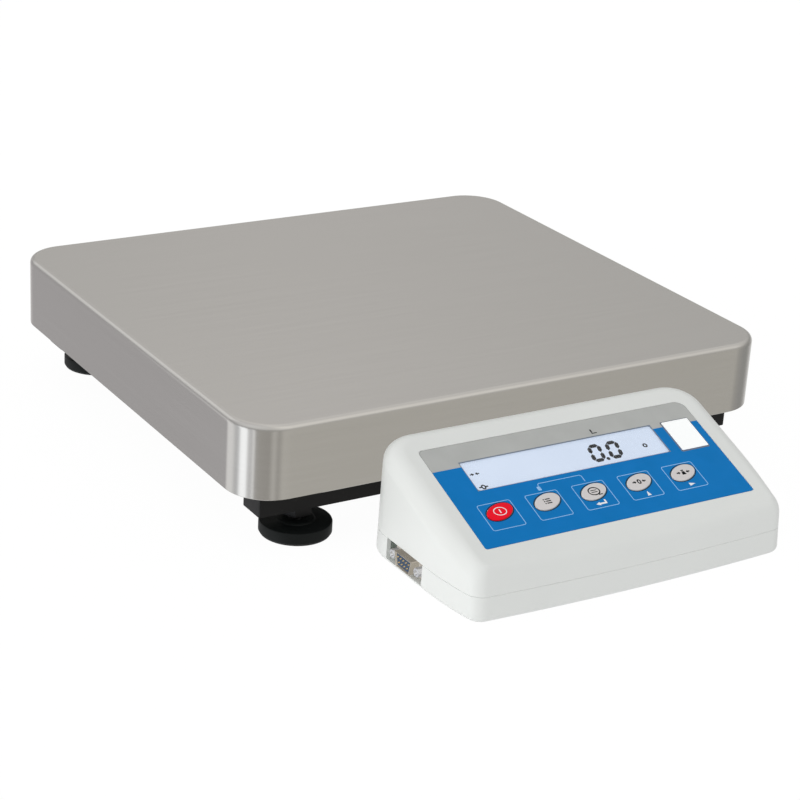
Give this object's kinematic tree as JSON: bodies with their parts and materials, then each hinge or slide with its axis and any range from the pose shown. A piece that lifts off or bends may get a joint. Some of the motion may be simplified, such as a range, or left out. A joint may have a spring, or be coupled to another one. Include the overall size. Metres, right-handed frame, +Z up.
{
  "type": "bench scale",
  "caption": "Low bench scale: steel load plate on a single load cell and a levelled frame, with a wedge-shaped display terminal and round-cornered keypad in front.",
  "frame": {"origin": "on the bench, under the middle of the whole object's bounding box", "axes": "+Z up, +X to the right along the front edge as the user sees it, +Y from the terminal at the front to the platform at the back"},
  "size_m": [0.36, 0.445, 0.0779],
  "materials": {
    "stainless": "satin, brushed",
    "black_paint": "satin black",
    "blackened_steel": "satin black",
    "zinc_steel": "bright zinc",
    "aluminium": "milled",
    "black_plastic": "moulded, fine grain",
    "rubber": "matt",
    "shell_plastic": "moulded, fine grain",
    "panel_film": "printed film",
    "red_key": "satin",
    "grey_key": "satin",
    "window": "clear, polished",
    "display": "polished",
    "light_guide": "satin",
    "circuit_board": "solder mask",
    "connector_shell": "tin plate",
    "level_vial": "polished",
    "label": "paper"
  },
  "bodies": {
    "base": {"front_rail": "black_paint", "rear_rail": "black_paint", "centre_beam": "black_paint", "load_cell": "aluminium", "cell_bolt_lower_1": "zinc_steel", "cell_bolt_lower_2": "zinc_steel", "spirit_level": "level_vial", "frame_gland": "black_plastic", "terminal_gland": "black_plastic", "terminal_upper_shell": "shell_plastic", "terminal_lower_shell": "shell_plastic", "panel_overlay": "panel_film", "display_window": "window", "display_module": "display", "display_backlight": "light_guide", "key_board": "circuit_board", "main_board": "circuit_board", "serial_connector": "connector_shell", "jack_screw_front": "zinc_steel", "jack_screw_back": "zinc_steel", "power_inlet": "black_plastic", "seal_sticker": "label", "terminal_bracket": "black_paint", "lock_nut_front_left": "blackened_steel", "overload_stop_front_left": "zinc_steel", "lock_nut_front_right": "blackened_steel", "overload_stop_front_right": "zinc_steel", "lock_nut_back_left": "blackened_steel", "overload_stop_back_left": "zinc_steel", "lock_nut_back_right": "blackened_steel", "overload_stop_back_right": "zinc_steel", "terminal_foot_front_left": "rubber", "terminal_foot_front_right": "rubber", "terminal_foot_back_left": "rubber", "terminal_foot_back_right": "rubber", "bracket_rail_screw_left": "zinc_steel", "bracket_shell_screw_left": "zinc_steel", "bracket_rail_screw_right": "zinc_steel", "bracket_shell_screw_right": "zinc_steel"},
    "live_frame": {"plate_carrier": "aluminium", "plate_buffer_front_left": "rubber", "plate_buffer_front_right": "rubber", "plate_buffer_back_left": "rubber", "plate_buffer_back_right": "rubber", "cell_bolt_upper_1": "zinc_steel", "cell_bolt_upper_2": "zinc_steel"},
    "load_plate": {"load_plate": "stainless"},
    "foot_stud_front_left": {"foot_stud_front_left": "blackened_steel"},
    "foot_disc_front_left": {"foot_disc_front_left": "black_plastic"},
    "foot_stud_front_right": {"foot_stud_front_right": "blackened_steel"},
    "foot_disc_front_right": {"foot_disc_front_right": "black_plastic"},
    "foot_stud_back_left": {"foot_stud_back_left": "blackened_steel"},
    "foot_disc_back_left": {"foot_disc_back_left": "black_plastic"},
    "foot_stud_back_right": {"foot_stud_back_right": "blackened_steel"},
    "foot_disc_back_right": {"foot_disc_back_right": "black_plastic"},
    "key_power": {"key_power": "red_key"},
    "key_function": {"key_function": "grey_key"},
    "key_print": {"key_print": "grey_key"},
    "key_zero": {"key_zero": "grey_key"},
    "key_tare": {"key_tare": "grey_key"}
  },
  "joints": [
    {"name": "load_cell_bend", "type": "slide", "parent": "base", "child": "live_frame", "axis": [0, 0, 1], "range_m": [-0.0005, 0], "stiffness_N_per_m": 300000, "springref_m": 0.00008, "deforming": ["load_cell"]},
    {"name": "plate_lift_off", "type": "slide", "parent": "live_frame", "child": "load_plate", "axis": [0, 0, 1], "range_m": [0, 0.1]},
    {"name": "foot_rise_front_left", "type": "slide", "parent": "base", "child": "foot_stud_front_left", "axis": [0, 0, -1], "range_m": [-0.0025, 0.01]},
    {"name": "foot_turn_front_left", "type": "hinge", "parent": "foot_stud_front_left", "child": "foot_disc_front_left", "pos_m": [-0.1352, -0.0775, 0.004], "axis": [0, 0, -1], "range_deg": [-602, 2402]},
    {"name": "foot_rise_front_right", "type": "slide", "parent": "base", "child": "foot_stud_front_right", "axis": [0, 0, -1], "range_m": [-0.0025, 0.01]},
    {"name": "foot_turn_front_right", "type": "hinge", "parent": "foot_stud_front_right", "child": "foot_disc_front_right", "pos_m": [0.1352, -0.0775, 0.004], "axis": [0, 0, -1], "range_deg": [-602, 2402]},
    {"name": "foot_rise_back_left", "type": "slide", "parent": "base", "child": "foot_stud_back_left", "axis": [0, 0, -1], "range_m": [-0.0025, 0.01]},
    {"name": "foot_turn_back_left", "type": "hinge", "parent": "foot_stud_back_left", "child": "foot_disc_back_left", "pos_m": [-0.1352, 0.1975, 0.004], "axis": [0, 0, -1], "range_deg": [-602, 2402]},
    {"name": "foot_rise_back_right", "type": "slide", "parent": "base", "child": "foot_stud_back_right", "axis": [0, 0, -1], "range_m": [-0.0025, 0.01]},
    {"name": "foot_turn_back_right", "type": "hinge", "parent": "foot_stud_back_right", "child": "foot_disc_back_right", "pos_m": [0.1352, 0.1975, 0.004], "axis": [0, 0, -1], "range_deg": [-602, 2402]},
    {"name": "key_power_press", "type": "slide", "parent": "base", "child": "key_power", "axis": [0, 0.3469, -0.9379], "range_m": [0, 0.0004], "stiffness_N_per_m": 2000, "springref_m": -0.0004},
    {"name": "key_function_press", "type": "slide", "parent": "base", "child": "key_function", "axis": [0, 0.3469, -0.9379], "range_m": [0, 0.0004], "stiffness_N_per_m": 2000, "springref_m": -0.0004},
    {"name": "key_print_press", "type": "slide", "parent": "base", "child": "key_print", "axis": [0, 0.3469, -0.9379], "range_m": [0, 0.0004], "stiffness_N_per_m": 2000, "springref_m": -0.0004},
    {"name": "key_zero_press", "type": "slide", "parent": "base", "child": "key_zero", "axis": [0, 0.3469, -0.9379], "range_m": [0, 0.0004], "stiffness_N_per_m": 2000, "springref_m": -0.0004},
    {"name": "key_tare_press", "type": "slide", "parent": "base", "child": "key_tare", "axis": [0, 0.3469, -0.9379], "range_m": [0, 0.0004], "stiffness_N_per_m": 2000, "springref_m": -0.0004}
  ],
  "couplings": [
    {"joint": "foot_turn_front_left", "follows": "foot_rise_front_left", "rad_per_m": 4188.8},
    {"joint": "foot_turn_front_right", "follows": "foot_rise_front_right", "rad_per_m": 4188.8},
    {"joint": "foot_turn_back_left", "follows": "foot_rise_back_left", "rad_per_m": 4188.8},
    {"joint": "foot_turn_back_right", "follows": "foot_rise_back_right", "rad_per_m": 4188.8}
  ]
}
